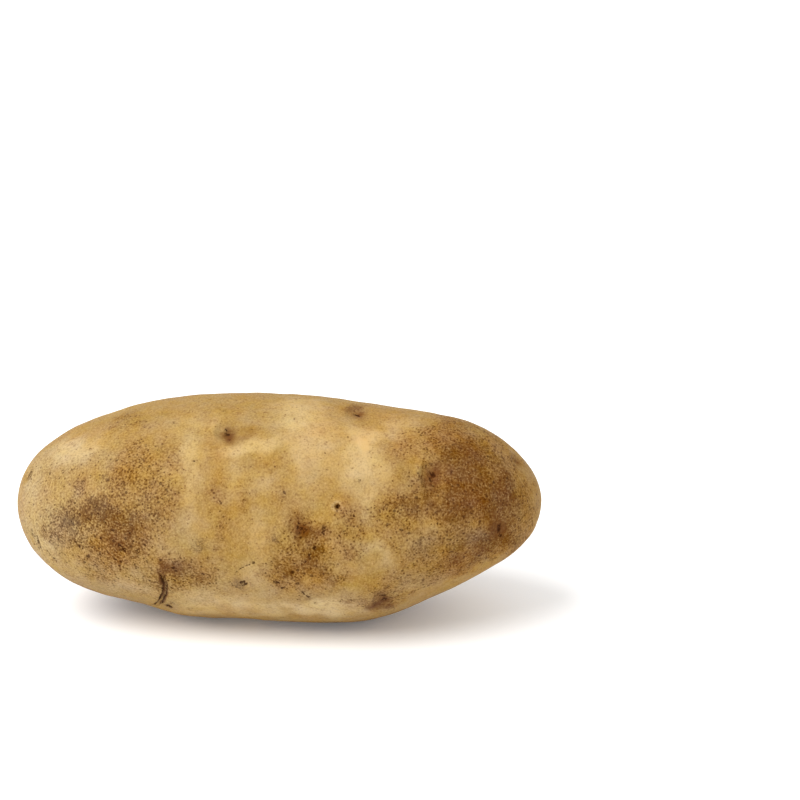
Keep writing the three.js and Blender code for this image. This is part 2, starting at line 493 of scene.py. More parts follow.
@dataclass(frozen=True)
class Crease:
    """A line in the skin: a growth crack, a fold or a scratch.

    Attributes:
        spots: The places that it passes through.
        depth: How deep it is in its middle, in mm.
        half_width: Half its width, in mm.
        lip: How high the skin stands beside it.
        dark: How dark a line it holds: earth in the crack and scratches, and a darker line along each
            fold.
        pale: How much painted highlight lies along it, as paler skin.
        split: How much of the earth lies along its two edges and not in its middle.
    """

    spots: tuple[Spot, ...]
    depth: float
    half_width: float
    lip: float = 0.0
    dark: float = 0.0
    pale: float = 0.0
    split: float = 0.0

    def _nearest(self, points: np.ndarray) -> tuple[np.ndarray, np.ndarray]:
        """Measures points from the line.

        Args:
            points: Points in metres, one a row.

        Returns:
            Distances from it along the skin, in mm, and how far along it they lie, from 0 to 1.
        """
        best = np.full(len(points), np.inf)
        share = np.zeros(len(points))
        steps = len(self.spots) - 1
        for number, (one, two) in enumerate(zip(self.spots, self.spots[1:])):
            along, over, out = one.flat(points)
            end_along, end_over, _ = (value[0] for value in one.flat(two.centre[None]))
            length = math.hypot(end_along, end_over)
            reached = np.clip((along * end_along + over * end_over) / length**2, 0, 1)
            far = np.hypot(along - reached * end_along, over - reached * end_over)
            far = np.where(np.abs(out) < one.THICK, far, np.inf)
            closer = far < best
            best = np.where(closer, far, best)
            share = np.where(closer, (number + reached) / steps, share)
        return best, share

    @staticmethod
    def _taper(share: np.ndarray, ends: float) -> np.ndarray:
        """Gives 1 over most of the line, falling to the value for its ends."""
        return np.clip(4 * share * (1 - share) + ends, 0, 1)

    def relief(self, points: np.ndarray) -> np.ndarray:
        """Gives how far the crease raises the skin.

        Args:
            points: Points in metres, one a row.

        Returns:
            The rise at each point, in mm.
        """
        far, share = self._nearest(points)
        groove = -self.depth * bell(far, self.half_width)
        lips = self.lip * bell(far - 2.2 * self.half_width, self.half_width)
        return (groove + lips) * self._taper(share, 0.25)

    def dirt(self, points: np.ndarray) -> np.ndarray:
        """Gives how dark the crease is: earth in the crack and scratches, and a darker line along each
        fold.

        Args:
            points: Points in metres, one a row.

        Returns:
            The amount at each point.
        """
        far, share = self._nearest(points)
        middle = bell(far, 0.9 * self.half_width)
        edges = bell(far - 0.85 * self.half_width, 0.35 * self.half_width)
        return self.dark * self._taper(share, 0.4) * (middle * (1 - self.split) + edges * self.split)

    def painted_highlight(self, points: np.ndarray) -> np.ndarray:
        """Gives the painted highlight along the crease at each point, as paler skin."""
        return self.pale * bell(self._nearest(points)[0], self.half_width)


@dataclass(frozen=True)
class SeenPatch:
    """A soft-edged patch of one kind of mark, placed as the photograph shows it.

    Attributes:
        layer: The kind of mark.
        middle: Its middle, a pixel of the photograph.
        reach: Its half width and half height, in pixels.
        strength: How strong it is in its middle; below zero it takes the mark away.
        turn_deg: How far it is turned, anticlockwise in the photograph.
    """

    layer: Layer
    middle: Pixel
    reach: Pixel
    strength: float
    turn_deg: float = 0.0

    def weigh(self, seen: np.ndarray) -> np.ndarray:
        """Gives the patch's strength at points of the photograph.

        Args:
            seen: Pixel coordinates, one pair a row.

        Returns:
            The strength at each point.
        """
        right, down = (seen - np.array(self.middle)).T
        along, over = turned(right, down, -self.turn_deg)
        far = (along / self.reach[0]) ** 2 + (over / self.reach[1]) ** 2
        return self.strength * np.exp(-(far**1.5))


@dataclass(frozen=True)
class HiddenPatch:
    """The same on a side that the photograph doesn't show.

    Attributes:
        layer: The kind of mark.
        spot: Its middle.
        reach: Its half length and half breadth, in mm.
        strength: How strong it is in its middle.
        turn_deg: How far it is turned.
    """

    layer: Layer
    spot: Spot
    reach: tuple[float, float]
    strength: float
    turn_deg: float = 0.0

    def weigh(self, points: np.ndarray) -> np.ndarray:
        """Gives the patch's strength at points of the skin.

        Args:
            points: Points in metres, one a row.

        Returns:
            The strength at each point.
        """
        along, over, out = self.spot.flat(points, self.turn_deg)
        far = (along / self.reach[0]) ** 2 + (over / self.reach[1]) ** 2 + (out / max(self.reach)) ** 2
        return self.strength * np.exp(-(far**1.5))


# Patches that the photograph shows: middle, half width and half height, strength and turn
PATCHES_BY_LAYER = {
    Layer.RUSSET_AND_SHADE: (
        (56, 470, 14, 12, 0.3), (80, 483, 7, 7, 0.6), (49, 535, 8, 7, 0.6), (66, 515, 12, 12, 0.45),
        (130, 422, 26, 10, 0.6, 12), (135, 455, 24, 12, 0.6, 20), (150, 480, 30, 20, 0.5),
        (116, 514, 38, 14, 0.9, -25), (122, 538, 30, 16, 0.65, -20), (102, 507, 18, 10, 0.6, -20),
        (140, 515, 30, 24, 0.4), (120, 560, 30, 12, 0.5, -15), (165, 500, 18, 26, 0.4),
        (170, 455, 12, 16, 0.4), (177, 568, 15, 11, 0.5), (201, 580, 12, 8, 0.35),
        (222, 525, 9, 26, 0.65), (216, 490, 9, 16, 0.4), (216, 455, 8, 8, 0.3),
        (262, 465, 22, 8, 0.35, 10), (283, 495, 7, 13, 0.55), (245, 500, 10, 20, 0.3),
        (301, 528, 15, 13, 0.8), (321, 530, 9, 9, 0.6), (338, 508, 9, 8, 0.45), (300, 560, 26, 20, 0.8),
        (280, 575, 18, 16, 0.7), (318, 560, 14, 14, 0.6), (335, 577, 16, 8, 0.6),
        (310, 590, 22, 8, 0.5), (350, 555, 8, 8, 0.5), (350, 530, 16, 10, 0.35), (353, 411, 12, 6, 0.6),
        (400, 448, 14, 10, 0.35), (398, 505, 18, 12, 0.6), (425, 505, 22, 14, 0.7),
        (385, 525, 18, 8, 0.4), (395, 575, 20, 8, 0.35), (380, 602, 12, 10, 0.8),
        # The three patches on the next line, at the rose end, are partly brown cork net and partly painted
        # shade that darkens that end.
        (450, 450, 28, 46, 0.9), (485, 480, 34, 46, 1.0), (510, 510, 30, 36, 1.0),
        (445, 502, 26, 18, 0.8), (455, 545, 32, 20, 0.9), (420, 555, 16, 10, 0.5),
        (500, 545, 28, 16, 0.9), (445, 570, 38, 12, 0.9, 20), (400, 515, 20, 16, 0.6),
        (350, 545, 24, 20, 0.4), (205, 570, 24, 14, 0.4), (420, 435, 20, 12, 0.3),
        (433, 478, 14, 14, 0.3), (118, 480, 20, 14, 0.7), (92, 512, 16, 18, 0.9),
        (110, 545, 26, 16, 0.6), (325, 547, 8, 10, 0.5), (455, 515, 12, 10, 0.4),
        (95, 570, 30, 10, 0.55, -25), (312, 536, 22, 16, 0.5), (168, 566, 9, 9, 0.35),
        (163, 570, 5, 10, 0.6), (204, 579, 18, 11, 0.35), (470, 470, 30, 40, 0.3),
        (70, 528, 24, 18, 0.6), (76, 514, 14, 10, 0.3), (168, 516, 22, 14, 0.35),
        (165, 562, 26, 22, 0.4), (174, 583, 18, 11, 0.5), (150, 582, 12, 8, 0.35),
        # The patch at (390, 588) on the next line is partly brown cork net and partly painted shade,
        # darker low on the right.
        (360, 512, 20, 16, 0.3), (412, 538, 30, 12, 0.45), (390, 588, 26, 14, 0.6),
        # The patch at (44, 512) on the next line is painted shade, darker along the left edge.
        (376, 600, 24, 8, 0.4), (345, 500, 12, 10, 0.25), (44, 512, 10, 10, 0.25),
        (152, 512, 10, 8, 0.2), (144, 546, 14, 10, 0.3), (204, 545, 12, 12, 0.35),
        (276, 540, 12, 12, 0.35), (120, 496, 12, 8, 0.3), (410, 560, 18, 12, 0.35),
        (330, 576, 24, 12, 0.35), (348, 604, 18, 6, 0.6), (422, 486, 9, 12, 0.5),
        (344, 516, 10, 10, 0.3), (384, 545, 14, 8, 0.35), (460, 522, 22, 12, 0.4),
        (439, 497, 7, 9, -0.5), (84, 574, 18, 7, -0.3, -30), (168, 478, 10, 9, -0.25),
        (402, 508, 8, 6, -0.3), (404, 482, 16, 20, 0.35),
    ),
    Layer.PALE: (
        (78, 450, 30, 12, 0.8, 25), (34, 500, 9, 45, 0.3), (45, 548, 14, 14, 0.5),
        (98, 492, 10, 6, 0.4, -20), (130, 585, 24, 8, 0.4), (190, 450, 16, 14, 0.6),
        (190, 480, 10, 20, 0.5), (192, 520, 9, 26, 0.3), (175, 545, 14, 8, 0.15),
        # The long patch at (250, 447) on the next line is painted highlight along the ridge beside the eye
        # at (228, 432).
        (250, 447, 34, 8, 0.9, 12), (200, 425, 40, 10, 0.4), (308, 425, 26, 26, 0.8),
        (290, 405, 30, 8, 0.4), (262, 480, 14, 12, 0.35), (256, 530, 10, 20, 0.45),
        (258, 570, 12, 22, 0.45), (300, 455, 20, 14, 0.5), (358, 450, 14, 26, 0.9),
        (372, 462, 12, 30, 0.6), (368, 503, 10, 16, 0.5), (350, 480, 12, 14, 0.5),
        # The narrow patch at (419, 474) on the next line is painted highlight on the brow of the eye at
        # (432, 476).
        (400, 428, 24, 12, 0.6), (388, 475, 14, 12, 0.35), (419, 474, 4, 18, 0.4),
        (332, 455, 16, 22, 0.5), (368, 438, 14, 12, 0.5), (52, 568, 14, 8, 0.5, -35),
        (372, 548, 16, 9, 0.6), (334, 546, 10, 8, 0.6), (385, 560, 10, 10, 0.4), (433, 529, 9, 8, 0.45),
        (480, 537, 10, 9, 0.7), (412, 542, 8, 8, 0.4), (470, 515, 9, 8, 0.35), (405, 590, 12, 6, 0.5),
        (420, 572, 8, 5, 0.3), (276, 608, 95, 7, 0.7), (200, 600, 30, 10, 0.45), (330, 605, 30, 8, 0.5),
        (240, 600, 20, 8, 0.4), (308, 474, 24, 18, 0.45), (234, 476, 12, 22, 0.35),
        (168, 478, 10, 9, 0.35), (76, 568, 14, 7, 0.35, -30), (438, 495, 8, 8, 0.6),
        (285, 420, 24, 10, 0.45), (342, 428, 12, 12, 0.3),
    ),
    Layer.STAIN: (
        (180, 568, 18, 9, 0.3), (203, 580, 8, 6, 0.2), (301, 530, 10, 14, 0.6), (433, 477, 9, 12, 0.45),
        (378, 603, 10, 8, 0.5), (497, 530, 7, 14, 0.6), (356, 411, 11, 6, 0.5), (246, 433, 10, 5, 0.4),
        (242, 583, 8, 7, 0.5), (228, 433, 8, 10, 0.4), (163, 570, 5, 9, 0.25), (378, 601, 8, 8, 0.5),
        (386, 597, 6, 7, 0.5), (230, 434, 7, 9, 0.3),
    ),
    Layer.ASH: (
        (45, 530, 34, 44, 1.0), (75, 455, 40, 18, 0.9), (110, 585, 60, 22, 0.8), (90, 495, 34, 18, 0.5),
        (170, 535, 24, 30, 0.7), (235, 590, 60, 22, 0.7), (330, 604, 70, 14, 0.8),
        (376, 552, 26, 14, 0.6), (432, 530, 12, 10, 0.6), (480, 540, 12, 10, 0.6),
        (366, 508, 12, 12, 0.5), (420, 580, 30, 12, 0.6), (425, 545, 14, 10, 0.5),
        (36, 478, 16, 26, 0.8), (114, 524, 20, 16, 0.5), (280, 420, 30, 12, 0.5),
        (310, 474, 16, 12, 0.5),
    ),
    Layer.BLUSH: (
        (370, 430, 70, 20, 0.9), (320, 465, 26, 22, 0.6), (420, 440, 30, 16, 0.5),
        (215, 450, 14, 12, 0.5), (130, 470, 40, 20, 0.4), (130, 545, 26, 22, 0.5),
        (225, 480, 22, 16, 0.4), (310, 570, 22, 16, 0.4), (337, 504, 10, 8, 0.7),
        (460, 565, 26, 12, 0.4), (80, 435, 40, 12, 0.4), (475, 490, 50, 60, 0.8),
    ),
    Layer.SPECKLE: (
        (60, 500, 50, 60, 0.9), (140, 470, 44, 36, 0.7), (110, 545, 60, 40, 0.9),
        (150, 590, 50, 16, 0.6), (200, 585, 40, 16, 0.4), (300, 550, 34, 34, 0.5),
        (390, 520, 30, 20, 0.4), (410, 440, 30, 20, 0.4), (300, 420, 30, 16, 0.2),
    ),
    Layer.SCUFF: (
        (93, 503, 14, 11, 0.6, -30), (72, 519, 12, 9, 0.7, 30), (200, 546, 8, 6, 0.8),
        (101, 479, 5, 4, 0.6), (60, 540, 12, 5, 0.5, -30), (275, 537, 5, 4, 0.7), (242, 584, 5, 5, 0.7),
    ),
}
SEEN_PATCHES = tuple(
    SeenPatch(layer, (x, y), (half_width, half_height), *rest)
    for layer, rows in PATCHES_BY_LAYER.items()
    for x, y, half_width, half_height, *rest in rows
)

# Small dark specks of earth and dead skin: their radius in mm and darkness, and their pixels
SPECKS_BY_LOOK = {
    (0.5, 0.8): ((105, 522), (88, 557), (96, 507), (62, 526.5), (226.5, 428), (282, 588), (303, 592.5),
        (309, 597.5), (176, 571), (357, 413.5), (119, 545)),
    (0.5, 0.9): ((120, 546), (434.5, 475)),
    (0.45, 0.8): ((107, 552), (130, 533), (309, 546.5), (354, 516.5), (344, 531), (278, 582.5),
        (359.5, 415)),
    (0.4, 0.8): ((80, 547), (112, 530), (98, 514), (101, 538), (75, 503), (303.5, 532.5), (391, 598.5)),
    (0.4, 0.7): ((145, 545), (92, 548), (116, 560), (294, 545.5), (308, 510.5), (275, 582), (470, 457),
        (454, 444), (394.5, 592.5), (54, 522)),
    (0.8, 0.9): ((172.5, 603.5), (168, 605.5), (169, 606.5)),
    (0.75, 0.9): ((124, 550),),
    (0.6, 0.9): ((138, 551),),
    (0.9, 0.6): ((83, 482),),
    (0.35, 0.9): ((194, 461),),
    (0.35, 0.8): ((174, 423),),
    (0.35, 0.7): ((135, 416), (252, 429), (315, 603), (349, 520), (189, 609)),
    (0.5, 0.6): ((224, 411), (375, 605)),
    (0.6, 0.8): ((228, 432.5), (501, 536)),
    (0.4, 0.9): ((229, 438.5),),
    (0.35, 0.6): ((247, 434), (312, 425.5), (348, 437), (274, 558), (294, 419), (316, 445), (325, 453),
        (222, 560), (213, 563)),
    (0.42, 0.9): ((305.5, 561.5),),
    (0.46, 1.0): ((309.5, 555),),
    (0.55, 1.0): ((314.5, 548), (433, 473)),
    (0.45, 0.7): ((294.5, 564), (313, 571.5), (433.5, 485.5), (271.5, 586)),
    (0.55, 0.9): ((293, 572.5), (173, 568), (385, 597)),
    (0.65, 0.9): ((324, 528.5),),
    (0.55, 0.8): ((323, 533.5), (381, 597)),
    (0.42, 0.8): ((297.5, 527.5), (306, 529.5), (299.5, 533.5), (301, 537.5)),
    (0.48, 0.9): ((301.5, 529),),
    (0.36, 0.7): ((299, 523.5), (304.5, 525), (303, 519.5)),
    (0.5, 0.7): ((253.5, 562.5), (134, 542)),
    (0.6, 0.6): ((360, 480.5),),
    (0.4, 0.5): ((327, 469),),
    (0.75, 0.6): ((432, 480),),
    (0.45, 0.6): ((452, 472), (88, 556), (79, 546), (268, 575), (414, 592.5)),
    (0.65, 0.8): ((501, 526),),
    (0.7, 0.8): ((500, 531),),
    (0.75, 1.0): ((385, 601),),
    (0.4, 0.6): ((339, 535), (301, 564), (273, 552), (272, 562), (277, 569), (332, 591), (323, 594),
        (402, 567), (215, 603), (451, 440), (471, 442), (372, 578)),
    (0.55, 0.6): ((265, 573),),
    (0.35, 0.5): ((370, 452), (374, 465)),
    (0.3, 0.5): ((308, 441),),
}
SPECKS = tuple((pixel, *look) for look, pixels in SPECKS_BY_LOOK.items() for pixel in pixels)


@dataclass(frozen=True)
class Wander:
    """Bends the edges of patches, so that none keeps a drawn shape.

    Attributes:
        seed: Seed of its waves.
        waves: How many waves it adds up.
        lengths_mm: Shortest and longest wave.
        reach_mm: How far it shifts a place.
    """

    seed: int
    waves: int = 26
    lengths_mm: tuple[float, float] = (3.5, 16.0)
    reach_mm: float = 0.9

    def shift(self, points: np.ndarray) -> np.ndarray:
        """Gives how far each point is shifted.

        Args:
            points: Points in metres, one a row.

        Returns:
            The shifts in metres, one a row.
        """
        draw = random.Random(self.seed)
        shifts = np.zeros((len(points), 3))
        for _ in range(self.waves):
            way = unit([draw.gauss(0, 1) for _ in range(3)])
            push = unit([draw.gauss(0, 1) for _ in range(3)])
            length = draw.uniform(*self.lengths_mm) * MM
            phase = 2 * math.pi * (points @ way / length + draw.random())
            shifts += np.sin(phase)[:, None] * push
        return shifts * (self.reach_mm * MM / math.sqrt(self.waves / 2))


@dataclass
class Marks:
    """Everything that stands out on the skin, each in its place.

    Attributes:
        surface: The surface that the marks are laid on.
        camera: The camera that the seen ones are placed through.
        seed: Seed of the marks on the hidden sides.
        eyes: Every eye.
        cups: The scars and the pit.
        creases: The crack, which is first, the scratches and the folds.
        specks: The specks, each as its spot, its radius in mm and its darkness.
        hidden: The patches on the hidden sides.
    """

    surface: Surface
    camera: PhotoCamera
    seed: int = SEED
    eyes: list[Eye] = field(default_factory=list)
    cups: list[Cup] = field(default_factory=list)
    creases: list[Crease] = field(default_factory=list)
    specks: list[tuple[Spot, float, float]] = field(default_factory=list)
    hidden: list[HiddenPatch] = field(default_factory=list)

    # Eyes that the photograph shows: pixel, size and depth
    SEEN_EYES = (
        ((228, 432), 1.0, 1.0),
        ((300, 528), 0.9, 0.45),
        ((432, 476), 1.0, 1.0),
        ((500, 529), 0.75, 1.2),
        ((384, 600), 0.85, 1.0),
        ((356, 414), 0.75, 0.8),
    )
    # The others: along, around and size, as on the solid
    HIDDEN_EYES = (
        (-36, 142, 0.9), (-16, 205, 1.0), (12, 158, 0.95), (33, 212, 1.0), (40, 128, 0.85),
        (-40, 246, 0.85), (46, 272, 0.85), (56, 172, 0.8), (65, 75, 0.65), (67, 240, 0.65),
    )
    # Pixels of the round scar, the pit and every line in the skin
    SCAR = (243.5, 583.5)
    PIT = (337.5, 506.5)
    CRACK = ((160, 573), (162.5, 576.5), (163, 580), (165, 585), (164, 590), (164.3, 594), (161.5, 598.5),
             (160.5, 602), (156.5, 605))
    SCRATCHES = (
        ((254, 563), (246, 566), (238, 570), (234, 576)),
        ((240, 589), (233, 586), (229, 580)),
        ((272, 581), (276, 583), (280, 583)),
        ((301, 591), (305, 595), (310, 598)),
        ((355, 413), (358, 414), (361, 416)),
        ((166, 580), (171, 578.5), (177, 582)),
        ((157, 603), (153, 605), (150, 605.5)),
        ((68, 528), (71, 522), (74, 516)),
    )
    FOLDS = (
        ((36, 533), (38, 541), (41, 549), (45, 556), (50, 562.5), (58, 569)),
        ((30, 525), (33, 536), (37, 546), (41, 553)),
        ((45, 549), (50, 556), (57, 562)),
    )
    BROW_FOLDS = (
        ((425, 459), (420, 468), (419, 480), (422, 490)),
        ((219, 411), (216, 422), (217, 434), (220, 443)),
        ((371, 594), (369, 600), (369, 607)),
    )
    # Lines with one look: their pixels, and the settings of their creases
    CREASES = (
        ((CRACK,), {"depth": 1.0, "half_width": 0.66, "lip": 0.25, "dark": 1.15, "split": 0.75}),
        (SCRATCHES, {"depth": 0.12, "half_width": 0.3, "dark": 0.65}),
        # The folds carry a darker line along each groove.
        (FOLDS, {"depth": 0.5, "half_width": 0.6, "lip": 0.25, "dark": 0.75}),
        # The brows get paler skin along them: painted highlight on the raised brows.
        (BROW_FOLDS, {"depth": -0.22, "half_width": 1.2, "pale": 0.22}),
    )

    # Patches of the hidden sides: kind, how many, sizes in mm and strengths
    HIDDEN_KINDS = (
        (Layer.RUSSET_AND_SHADE, 26, (8, 20), (0.35, 0.8)),
        (Layer.PALE, 12, (6, 14), (0.4, 0.9)),
        (Layer.SCUFF, 9, (1.5, 4.5), (0.4, 0.8)),
        (Layer.STAIN, 7, (3, 7), (0.3, 0.6)),
        (Layer.ASH, 8, (6, 16), (0.5, 1.0)),
        (Layer.BLUSH, 8, (5, 14), (0.4, 0.9)),
        (Layer.SPECKLE, 9, (10, 22), (0.3, 0.9)),
    )
    HIDDEN_SPECKS = 60
    HIDDEN_ALONG = (-66, 66)
    HIDDEN_SPECKS_ALONG = (-68, 68)
    HIDDEN_ROUND = (105, 300)

    def _line(self, pixels: Sequence[Pixel]) -> tuple[Spot, ...]:
        """Finds the spots under a line of pixels and half way between them.

        Args:
            pixels: Places in the photograph, in order.

        Returns:
            The spots, in order.
        """
        middles = [tuple((one + two) / 2 for one, two in zip(*pair)) for pair in zip(pixels, pixels[1:])]
        close = [pixel for pair in zip(pixels, middles) for pixel in pair] + [pixels[-1]]
        return tuple(self.surface.seen(self.camera, pixel) for pixel in close)

    def gather(self) -> None:
        """Finds every mark's place on the skin."""
        for number, (pixel, size, depth) in enumerate(self.SEEN_EYES):
            self.eyes.append(Eye(self.surface.seen(self.camera, pixel), size, depth, number, seen=True))
        for number, (along, around, size) in enumerate(self.HIDDEN_EYES, len(self.eyes)):
            self.eyes.append(Eye(self.surface.at(along, around), size, 1.0, number, seen=False))
        stem_scar = self.surface.at(-67.2, 54)
        round_scar, pit = (self.surface.seen(self.camera, pixel) for pixel in (self.SCAR, self.PIT))
        self.cups = [
            Cup(stem_scar, radius=2.2, depth=0.8, rim_width=0.8, rim_rise=0.3, button=0.3, dark=0.7),
            Cup(round_scar, radius=1.25, depth=0.4, rim_width=0.45, rim_rise=0.2, button=0.3, dark=0.8),
            # The pit's rim gets paler skin: painted highlight on the rim.
            Cup(pit, radius=0.7, depth=1.1, rim_width=0.45, rim_rise=0.2, pale=1.1),
        ]
        for lines, look in self.CREASES:
            self.creases += [Crease(self._line(line), **look) for line in lines]
        for pixel, radius, dark in SPECKS:
            self.specks.append((self.surface.seen(self.camera, pixel), radius, dark))
        self._scatter()

    def _scatter(self) -> None:
        """Draws the patches and specks of the sides that the photograph doesn't show."""
        draw = random.Random(self.seed)
        for layer, count, sizes, strengths in self.HIDDEN_KINDS:
            for _ in range(count):
                spot = self.surface.at(draw.uniform(*self.HIDDEN_ALONG), draw.uniform(*self.HIDDEN_ROUND))
                reach = (draw.uniform(*sizes), draw.uniform(*sizes))
                patch = HiddenPatch(layer, spot, reach, draw.uniform(*strengths), draw.uniform(0, 180))
                self.hidden.append(patch)
        for _ in range(self.HIDDEN_SPECKS):
            along, around = draw.uniform(*self.HIDDEN_SPECKS_ALONG), draw.uniform(*self.HIDDEN_ROUND)
            spot = self.surface.at(along, around)
            self.specks.append((spot, draw.uniform(0.3, 0.7), draw.uniform(0.5, 1.0)))


@dataclass
class PotatoSkin:
    """The potato's whole skin, as one closed mesh.

    Attributes:
        solid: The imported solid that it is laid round.
        camera: The camera that the seen marks are placed through.
        cells: How many faces the first, coarse skin has round each quarter.
        stretch: How many times more it has along the tuber.
        smoothing: How often the solid's facets are smoothed away.
        name: The piece's name.
        skin: The piece, once its first step has made it.
    """

    solid: Surface
    camera: PhotoCamera
    cells: int = 18
    stretch: int = 2
    smoothing: int = 5
    name: str = "potato_skin"
    skin: bpy.types.Object = field(init=False)

    # What the smoothing takes off the skin all round, given back after it
    SHRUNK = 0.45 * MM
    # What each round of refining reaches, in mm: round a full-size eye, and outside another mark's edge
    REFINED = ((5.5, 0.9), (2.2, 0.35))
    LUMP_SIZE = 9 * MM
    LUMP_RISE = 0.45 * MM
    RIPPLE_SIZE = 3.2 * MM
    RIPPLE_RISE = 0.12 * MM
    # The least rise that moves a vertex, in mm
    SMALLEST_RISE = 0.002
    # How squarely skin has to face the camera before the photograph's patches have all their strength
    FACING = 0.2
    MOST_PAINT = 1.5

    def build(self) -> bpy.types.Object:
        """Models the skin, step by step.

        Returns:
            The finished piece, at the origin.
        """
        self._block_out()
        self._wrap()
        self._subdivide()
        first = Marks(self.solid, self.camera)
        first.gather()
        for eye_reach, mark_reach in self.REFINED:
            self._refine(self._reaches(first, eye_reach, mark_reach))
        self._subdivide()
        self._roughen()
        marks = Marks(Surface(self.skin), self.camera)
        marks.gather()
        self._carve(marks)
        self._press_flat()
        self._paint(marks)
        bpy.ops.object.shade_smooth()
        return self.skin

    def _select(self, kind: str, chosen: np.ndarray) -> None:
        """Selects some parts of the skin's mesh and no others, and enters edit mode.

        Args:
            kind: The kind of part: vertices, edges or polygons.
            chosen: For each part of that kind, whether it is selected.
        """
        kinds = ("vertices", "edges", "polygons")
        for other in kinds:
            parts = getattr(self.skin.data, other)
            parts.foreach_set("select", chosen if other == kind else np.zeros(len(parts), bool))
        bpy.context.tool_settings.mesh_select_mode = [other == kind for other in kinds]
        bpy.ops.object.mode_set(mode="EDIT")

    def _read(self, kind: str = "vertices", name: str = "co") -> np.ndarray:
        """Reads a property of the mesh's parts that has three numbers.

        Args:
            kind: The kind of part: vertices or polygons.
            name: The property.

        Returns:
            Its values, one a row.
        """
        parts = getattr(self.skin.data, kind)
        flat = np.empty(3 * len(parts))
        parts.foreach_get(name, flat)
        return flat.reshape(-1, 3)

    def _apply(self, kind: str, **settings: Any) -> None:
        """Adds a modifier to the skin and applies it.

        Args:
            kind: The modifier's type.
            **settings: Its properties.
        """
        modifier = self.skin.modifiers.new(kind.lower(), kind)
        for name, value in settings.items():
            setattr(modifier, name, value)
        bpy.ops.object.modifier_apply(modifier=modifier.name)

    def _block_out(self) -> None:
        """Makes an even egg of square faces that fills the tuber's box. It becomes the skin."""
        low, high = self.solid.low, self.solid.high
        bpy.ops.object.select_all(action="DESELECT")
        bpy.ops.mesh.primitive_cube_add(size=1, location=(0, 0, 0))
        self.skin = skin = bpy.context.object
        skin.name = skin.data.name = self.name
        ends = [skin.data.vertices[index].co.x for edge in skin.data.edges for index in edge.vertices]
        long_edges = np.array(ends[::2]) * np.array(ends[1::2]) < 0
        self._select("edges", long_edges)
        bpy.ops.mesh.subdivide(number_cuts=self.stretch - 1)
        bpy.ops.mesh.select_all(action="SELECT")
        bpy.ops.mesh.subdivide(number_cuts=self.cells - 1)
        bpy.ops.transform.tosphere(value=1.0)
        bpy.ops.object.mode_set(mode="OBJECT")
        points = self._read()
        scale = (high - low) / (points.max(axis=0) - points.min(axis=0))
        bpy.ops.object.mode_set(mode="EDIT")
        bpy.ops.transform.resize(value=tuple(scale), center_override=(0, 0, 0))
        bpy.ops.transform.translate(value=tuple((low + high) / 2))
        bpy.ops.object.mode_set(mode="OBJECT")

    def _wrap(self) -> None:
        """Lays the egg on the solid and smooths the solid's facets away."""
        self._apply("SHRINKWRAP", target=self.solid.thing, wrap_method="NEAREST_SURFACEPOINT")
        self._apply("SMOOTH", factor=0.5, iterations=self.smoothing)
        self._apply("DISPLACE", strength=self.SHRUNK, mid_level=0.0)

    def _subdivide(self) -> None:
        """Splits every face in four and rounds the skin."""
        self._apply("SUBSURF", levels=1, render_levels=1)

    @staticmethod
    def _reaches(marks: Marks, eye_reach: float, mark_reach: float) -> list[tuple[np.ndarray, float]]:
        """Lists the places that need a finer mesh.

        Args:
            marks: The marks on the skin.
            eye_reach: How far round a full-size eye it is finer, in mm.
            mark_reach: How far outside the edge of another mark, in mm.

        Returns:
            The places, each with its reach in metres.
        """
        found = [(eye.spot.centre, eye_reach * eye.size * MM) for eye in marks.eyes]
        found += [(cup.spot.centre, (cup.radius + mark_reach) * MM) for cup in marks.cups]
        found += [(spot.centre, (radius + mark_reach) * MM) for spot, radius, _ in marks.specks]
        for crease in marks.creases:
            if crease.dark > 0:
                ends = zip(crease.spots, crease.spots[1:])
                middles = [(one.centre + two.centre) / 2 for one, two in ends]
                centres = [spot.centre for spot in crease.spots] + middles
                found += [(centre, (crease.half_width + mark_reach) * MM) for centre in centres]
        return found

    def _refine(self, reaches: list[tuple[np.ndarray, float]]) -> None:
        """Splits the faces that lie within reach of a mark.

        Args:
            reaches: Places, each with its reach in metres.
        """
        centres = self._read("polygons", "center")
        chosen = np.zeros(len(centres), bool)
        for centre, reach in reaches:
            far = np.linalg.norm(centres - centre, axis=1)
            chosen |= far < reach
            chosen[np.argmin(far)] = True
        self._select("polygons", chosen)
        bpy.ops.mesh.subdivide(number_cuts=1)
        bpy.ops.object.mode_set(mode="OBJECT")

    def _roughen(self) -> None:
        """Gives the skin the slight lumps and ripples of a thing that grew in soil."""
        for name, size, rise in (
            ("skin_lumps", self.LUMP_SIZE, self.LUMP_RISE),
            ("skin_ripples", self.RIPPLE_SIZE, self.RIPPLE_RISE),
        ):
            clouds = bpy.data.textures.new(name, "CLOUDS")
            clouds.noise_scale = size
            clouds.noise_depth = 1
            self._apply("DISPLACE", texture=clouds, strength=rise, mid_level=0.5, texture_coords="LOCAL")

    def _carve(self, marks: Marks) -> None:
        """Raises and sinks the skin at its marks.

        Args:
            marks: The marks on it.
        """
        points = self._read()
        heights = sum(mark.relief(points) for mark in [*marks.eyes, *marks.cups, *marks.creases])
        for spot, radius, dark in marks.specks:
            heights -= 0.3 * radius * dark * bell(spot.far(points), 0.9 * radius)
        for way in (1, -1):
            amounts = way * heights
            most = float(amounts.max())
            group = self.skin.vertex_groups.new(name="raised" if way > 0 else "sunk")
            for index in np.flatnonzero(amounts > self.SMALLEST_RISE):
                group.add([int(index)], float(amounts[index]) / most, "REPLACE")
            strength = way * most * MM
            self._apply("DISPLACE", vertex_group=group.name, strength=strength, mid_level=0.0)
        self.skin.vertex_groups.clear()

    def _press_flat(self) -> None:
        """Flattens the little that hangs below the floor, where the potato's weight rests."""
        self._select("vertices", self._read()[:, 2] < 0)
        bpy.ops.transform.resize(value=(1, 1, 0), center_override=(0, 0, 0))
        bpy.ops.object.mode_set(mode="OBJECT")

